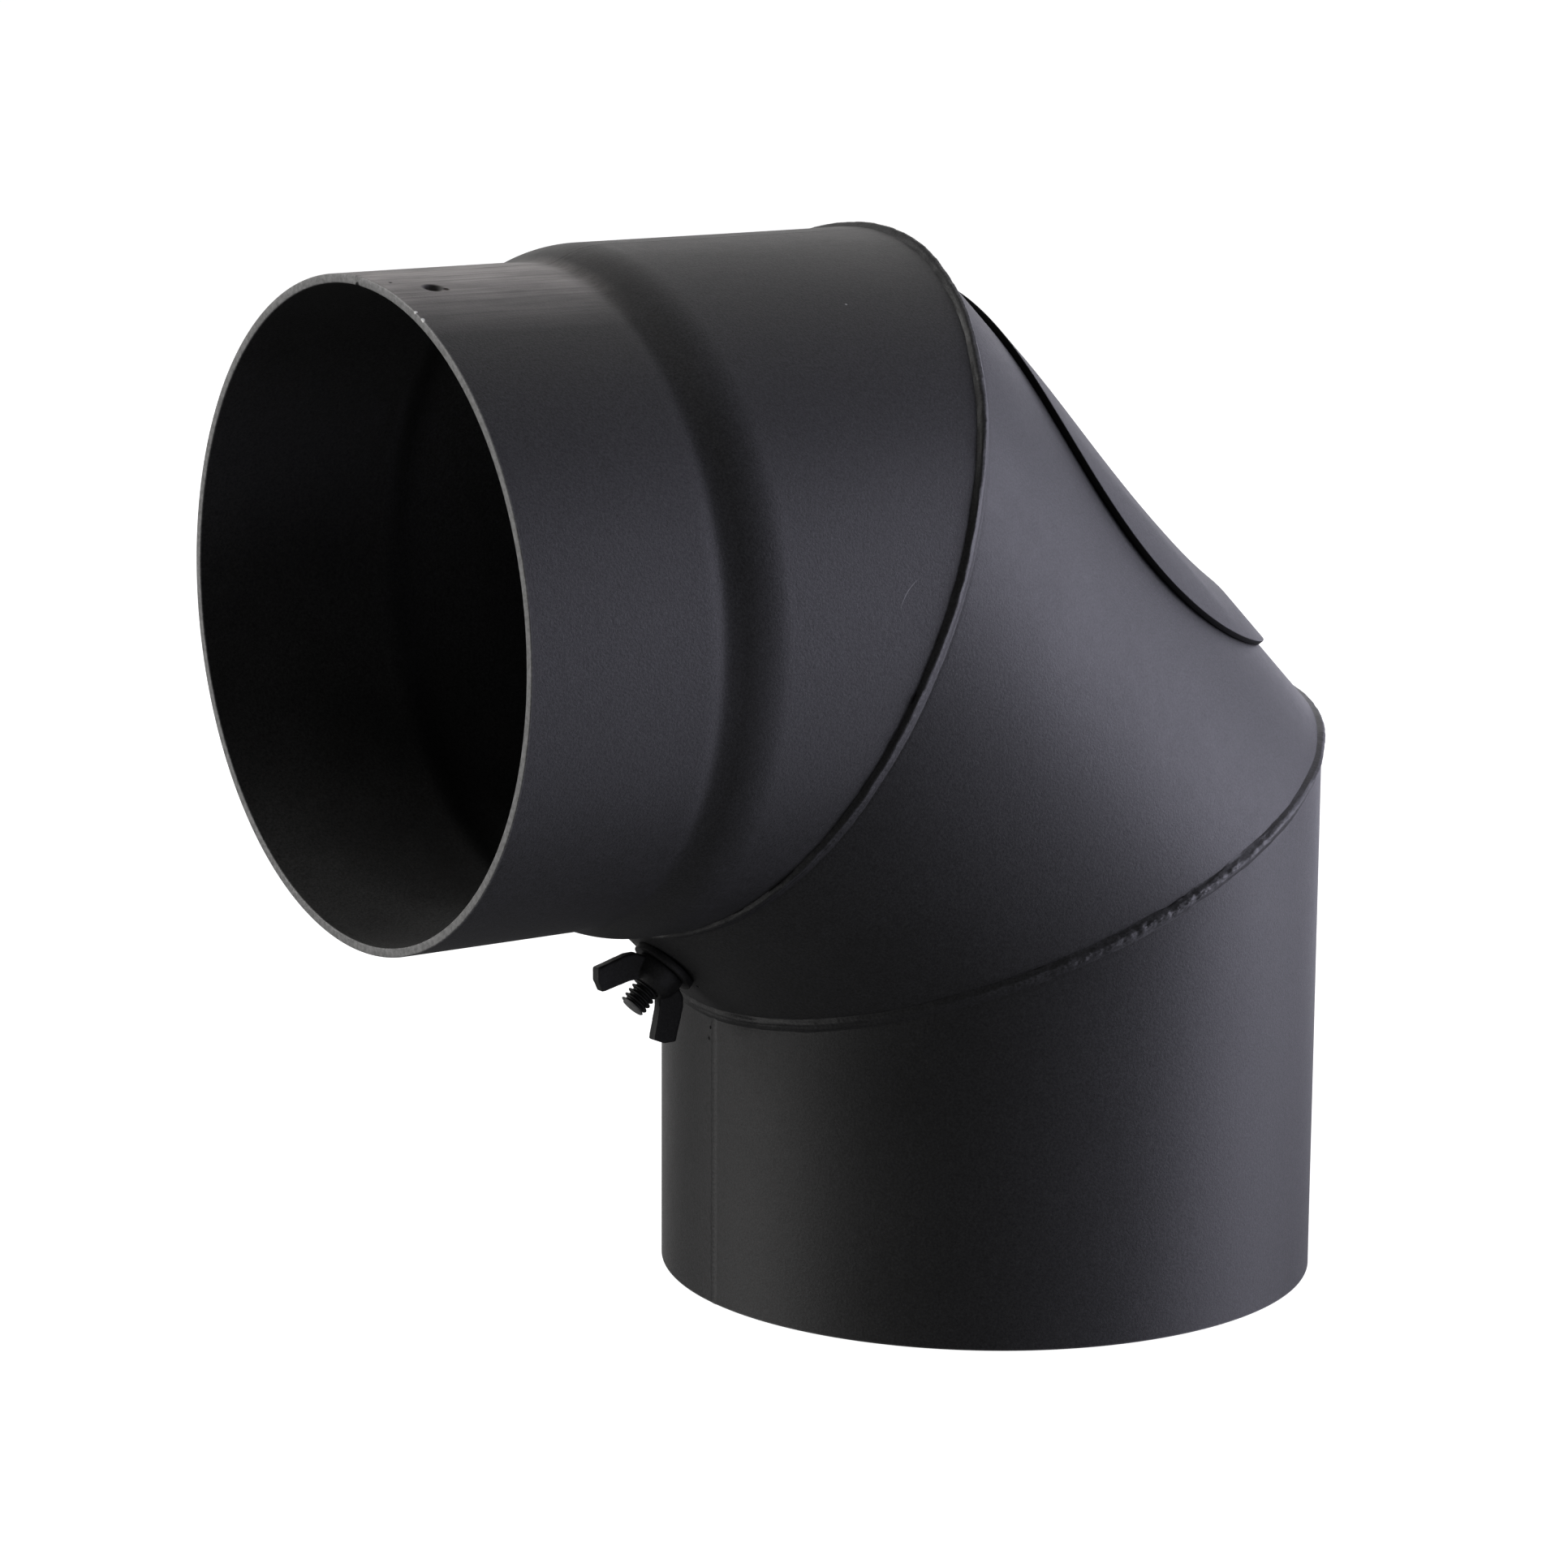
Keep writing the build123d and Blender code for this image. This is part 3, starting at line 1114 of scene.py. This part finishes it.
def paint(name, tone, roughness, details=(), worn_details=(), grain_bump=paint_grain_bump):
    """Matt heat-resistant paint: fine grain, sparse bright grit, slow mottling, worn edges that are also
    painted brighter as a highlight.

    details take the shader helpers and a base colour and return a new one; worn_details come last, so that
    they show on the worn, painted-highlight edges too.
    """
    n = Nodes(name)
    fine = n.noise(*grain_noise)
    grit = n.noise(*grit_noise)
    middle = n.noise(*mottle_noise)
    slow = n.noise(*patch_noise)
    mottled = n.mix_value(mottle_share, slow, middle)
    base = tones(n, mottled, (tone * darkest_share, tone * lightest_share), paint_blue)
    grain = n.remap(fine, *noise_span, grain_darkest, grain_lightest)
    base = n.scale(base, grain)
    base = n.mix(n.remap(grit, *grit_span, 0.0, grit_cover), base, grey(tone * grit_tone, paint_blue))
    for detail in details:
        base = detail(n, base)
    sooty = tones(n, slow, soot_tones, span=narrow_span)
    base = n.mix(n.attribute("inside"), base, n.scale(sooty, grain))
    # wear, partly a painted highlight on the rims and the wing ends
    worn_and_lit = tones(n, n.noise(*worn_and_lit_noise), worn_and_lit_tones, span=narrow_span)
    base = n.mix(n.attribute("wear"), base, worn_and_lit)
    for detail in worn_details:
        base = detail(n, base)
    n.set(n.shader.inputs["Base Color"], base)
    rough = n.remap(mottled, *noise_span, roughness - roughness_below, roughness + roughness_above)
    n.shader.inputs["Specular IOR Level"].default_value = specular
    low_bump = n.bump(middle, mottle_bump_share * grain_bump, grain_height * METRE)
    normal = n.bump(fine, grain_bump, grain_height * METRE, low_bump)
    if isinstance(n.pits, bpy.types.NodeSocket):
        normal = n.bump(n.math("SUBTRACT", 1.0, n.pits), 1.0, pit_depth * METRE, normal)
        rough = n.mix_value(n.pits, rough, 1.0)
    n.set(n.shader.inputs["Roughness"], rough)
    n.set(n.shader.inputs["Normal"], normal)
    return n.material


def ground_top_and_highlight(n, base):
    """Lengthwise grinding streaks along the top of the spigot's leg, strongest on the spigot, in a pale
    warm band that is also a painted highlight from the light above.
    """
    split = n.tree.nodes.new("ShaderNodeSeparateXYZ")
    n.set(split.inputs[0], n.place)
    height = n.math("SUBTRACT", split.outputs["Z"], leg_length * METRE)
    turn = n.math("ARCTAN2", n.math("MULTIPLY", split.outputs["Y"], -1.0), height)
    off_middle = n.math("ABSOLUTE", n.math("SUBTRACT", turn, top_band_middle))
    band = n.remap(off_middle, top_band_full, top_band_none, 1.0, 0.0)
    fade_start, fade_end = [(spigot_rim[0] + spigot_length + place) * METRE for place in top_band_fade]
    on_spigot = n.remap(split.outputs["X"], fade_start, fade_end, 1.0, top_band_past_flare)
    streak = n.noise(*streak_noise, n.stretched(streak_stretch))
    patch = n.noise(*patchy_noise, n.stretched(patchy_stretch))
    # the top band is painted lighter: grinding streaks, and a painted highlight where the light above falls
    ground_and_highlight = n.math("MULTIPLY", band, on_spigot)
    ground_and_highlight = n.math("MULTIPLY", ground_and_highlight, n.remap(streak, *streak_span, streak_least, 1.0))
    ground_and_highlight = n.math("MULTIPLY", ground_and_highlight, n.remap(patch, *patchy_span, patchy_least, 1.0))
    return n.mix(n.math("MULTIPLY", ground_and_highlight, ground_and_highlight_cover), base, ground_and_highlight_colour)


def spots(points, radius, colour, pitted=False):
    """Small round marks: chips in the paint, or pitted marks, such as pinholes and notches, with a bump dip
    and a dark colour that is painted shade in the pit.
    """

    def detail(n, base):
        for point in points:
            mark = n.remap(n.distance(point), radius * METRE, radius * METRE / 2, 0.0, 1.0)
            base = n.mix(mark, base, colour)
            if pitted:
                n.pits = n.math("MAXIMUM", n.pits, mark)
        return base

    return detail


def scratch(n, base):
    """One thin curved scratch on the body near the upper bead."""
    middle = Vector(surface_point(horizontal_leg, *scratch_middle, outer_radius))
    centre = Vector(surface_point(horizontal_leg, *scratch_centre, outer_radius))
    line = n.math("ABSOLUTE", n.math("SUBTRACT", n.distance(centre), (centre - middle).length))
    wide, narrow = scratch_width
    far, close = scratch_reach
    thin_line = n.remap(line, wide * METRE, narrow * METRE, 0.0, 1.0)
    near = n.remap(n.distance(middle), far * METRE, close * METRE, 0.0, scratch_cover)
    return n.mix(n.math("MULTIPLY", thin_line, near), base, grey(scratch_tone))


# ---- the studio: metres, watts and degrees, apart from the camera's millimetres ----
photo_width = 1932
sensor_width = 36.0
camera_azimuth = -33.8155
camera_elevation = 11.7189
camera_roll = 0.2983
camera_distance = 1167.66
camera_focal_pixels = 6309.07
camera_target = np.array([-58.22, 0.0, 120.455])
nearest_shown = 0.05
furthest_shown = 60.0
cool_light = (1.0, 0.985, 1.2)
warm_light = (1.0, 0.985, 0.97)
# azimuth, elevation, distance, size, power, colour
soft_boxes = {
    "key_right": (60.0, 9.0, 0.8, 0.65, 4.5, cool_light),
    "key_below": (60.0, -25.0, 1.6, 1.3, 5.7, cool_light),
    "fill_front": (0.0, -20.0, 1.6, 1.0, 0.8, cool_light),
    "fill_top": (63.0, 52.0, 1.6, 1.0, 1.0, cool_light),
    "top_behind": (125.0, 48.0, 1.6, 1.0, 2.3, warm_light),
    "fill_left": (-120.0, -14.0, 1.6, 1.0, 4.7, warm_light),
    "left_behind": (-130.0, 35.0, 1.6, 1.0, 17.0, warm_light),
    "right_behind": (150.0, 5.0, 1.6, 1.6, 7.5, warm_light),
    "right_side": (112.0, 2.0, 1.6, 1.0, 3.8, cool_light),
}
world_strength = 0.11
paper_glow = 0.99
paper_tone = 0.25
paper_roughness = 0.9
backdrop_radius = 9.0
floor_drop = 0.0004


def directions(azimuth, elevation):
    """Right, up and back of a view at an azimuth and elevation."""
    a = math.radians(azimuth)
    e = math.radians(elevation)
    back = Vector((math.sin(a) * math.cos(e), -math.cos(a) * math.cos(e), math.sin(e)))
    right = Vector((math.cos(a), math.sin(a), 0.0))
    return right, back.cross(right), back


def add_camera():
    right, upward, back = directions(camera_azimuth, camera_elevation)
    roll = math.radians(camera_roll)
    turned_right = right * math.cos(roll) + upward * math.sin(roll)
    turned_up = upward * math.cos(roll) - right * math.sin(roll)
    data = bpy.data.cameras.new("camera")
    data.sensor_width = sensor_width
    data.lens = camera_focal_pixels / photo_width * sensor_width
    data.clip_start = nearest_shown
    data.clip_end = furthest_shown
    camera = bpy.data.objects.new("camera", data)
    bpy.context.scene.collection.objects.link(camera)
    matrix = np.eye(4)
    matrix[:3, 0] = turned_right
    matrix[:3, 1] = turned_up
    matrix[:3, 2] = back
    matrix[:3, 3] = (camera_target + np.array(back) * camera_distance) * METRE
    camera.matrix_world = Matrix(matrix.tolist())
    bpy.context.scene.camera = camera


def add_lights():
    """A near key from the right, dim fills, and grazing boxes behind on both sides."""
    for name, (azimuth, elevation, distance, size, power, colour) in soft_boxes.items():
        back = directions(azimuth, elevation)[2]
        data = bpy.data.lights.new(name, "AREA")
        data.size = size
        data.energy = power
        data.color = colour
        light = bpy.data.objects.new(name, data)
        light.location = Vector(camera_target * METRE) + back * distance
        light.rotation_mode = "QUATERNION"
        light.rotation_quaternion = back.to_track_quat("Z", "Y")
        bpy.context.scene.collection.objects.link(light)


def add_world():
    world = bpy.data.worlds.new("studio")
    world.use_nodes = True
    background = world.node_tree.nodes["Background"]
    background.inputs["Color"].default_value = (1.0, 1.0, 1.0, 1.0)
    background.inputs["Strength"].default_value = world_strength
    bpy.context.scene.world = world


def paper():
    """White paper that glows, so that it stays pale under the dim studio."""
    material = bpy.data.materials.new("floor_paper")
    material.use_nodes = True
    shader = material.node_tree.nodes["Principled BSDF"]
    shader.inputs["Base Color"].default_value = grey(paper_tone)
    shader.inputs["Roughness"].default_value = paper_roughness
    shader.inputs["Emission Color"].default_value = (1.0, 1.0, 1.0, 1.0)
    shader.inputs["Emission Strength"].default_value = paper_glow
    return material


def stage_paper(surface, name, material):
    """Names a paper surface, and keeps its glow and its shadow off the elbow."""
    surface.name = name
    surface.visible_diffuse = False
    surface.visible_glossy = False
    surface.visible_shadow = False
    surface.data.materials.append(material)


def add_paper():
    """A floor under the elbow and a dome round it, of the same paper."""
    material = paper()
    bpy.ops.mesh.primitive_plane_add(size=2 * backdrop_radius, location=(0.0, 0.0, -floor_drop))
    stage_paper(bpy.context.object, "floor", material)
    bpy.ops.mesh.primitive_uv_sphere_add(radius=backdrop_radius)
    stage_paper(bpy.context.object, "backdrop", material)


# ---- assembly ----
hole_middle = surface_point(horizontal_leg, hole_angle, hole_along, spigot_radius)
burr = surface_point(horizontal_leg, hole_angle + burr_turn, hole_along + burr_along, spigot_radius)
chips = [surface_point(horizontal_leg, *place, spigot_radius) for place in rim_chips]
notch = surface_point(horizontal_leg, *rim_notch, spigot_radius - sheet)
top_hole = surface_point(horizontal_leg, *top_pinhole, spigot_radius)
speck = surface_point(horizontal_leg, *body_speck, outer_radius)
socket_holes = [surface_point(vertical_leg, *place, outer_radius) for place in socket_pinholes]
gore_hole = surface_point(middle_leg, *gore_pinhole, outer_radius)
# painted shade for the inside of the pinholes and the notch
pit_shade = grey(pit_shade_tone)
spigot_details = [
    # grinding and a painted highlight along the spigot's top
    ground_top_and_highlight,
    # painted shade widening the screw hole's dark opening
    spots([hole_middle], hole_ring_radius, grey(hole_ring_shade_tone), pitted=True),
    spots([burr], burr_radius, burr_colour, pitted=True),
    spots([speck], speck_radius, grey(speck_tone)),
    spots([top_hole], pinhole_radius, pit_shade, pitted=True),
    scratch,
]
rim_details = [
    spots([notch], notch_radius, pit_shade, pitted=True),
    spots(chips, chip_radius, grey(chip_tone)),
]
gore_details = [spots([gore_hole], pinhole_radius, pit_shade, pitted=True)]
socket_details = [spots(socket_holes, pinhole_radius, pit_shade, pitted=True)]
pipe_paint = paint("pipe_paint_matt", paint_tone, pipe_roughness, gore_details)
socket_paint = paint("socket_paint_matt", paint_tone, pipe_roughness, socket_details)
spigot_paint = paint("spigot_paint_ground", paint_tone, pipe_roughness, spigot_details, rim_details)
weld_paint = paint("weld_paint_matt", paint_tone * weld_tone_share, weld_roughness)
door_paint = paint("door_paint_matt", paint_tone, door_roughness)
# a painted shade for the door's cut edge, where the gap under the plate lies in shadow
door_edge_shade = painted_edge_shade("door_edge_soot")
hardware_tone = paint_tone * hardware_tone_share
hardware_paint = paint(
    "hardware_paint_black", hardware_tone, hardware_roughness, grain_bump=hardware_grain_bump
)

show(horizontal_section(), "horizontal_section", spigot_paint)
show(middle_section(), "middle_section", pipe_paint)
show(vertical_section(), "vertical_section", socket_paint)
show(horizontal_seam_weld(), "horizontal_seam_weld", spigot_paint)
show(middle_seam_weld(), "middle_seam_weld", weld_paint)
show(vertical_seam_weld(), "vertical_seam_weld", weld_paint)
show(mitre_weld("upper_bead", lower=False), "upper_mitre_weld", weld_paint)
show(mitre_weld("lower_bead", lower=True), "lower_mitre_weld", weld_paint)
door = show(door_plate(), "door_plate", door_paint)
# the door's cut edge carries the painted shade of the gap under it
blacken_edge(door, door_edge_shade)
show(stud(), "door_stud", hardware_paint)
show(stud_weld(), "stud_weld", weld_paint)
show(washer(), "washer", hardware_paint)
show(wing_nut(), "wing_nut", hardware_paint)

add_world()
add_paper()
add_lights()
add_camera()
bpy.context.scene.view_settings.view_transform = "Standard"
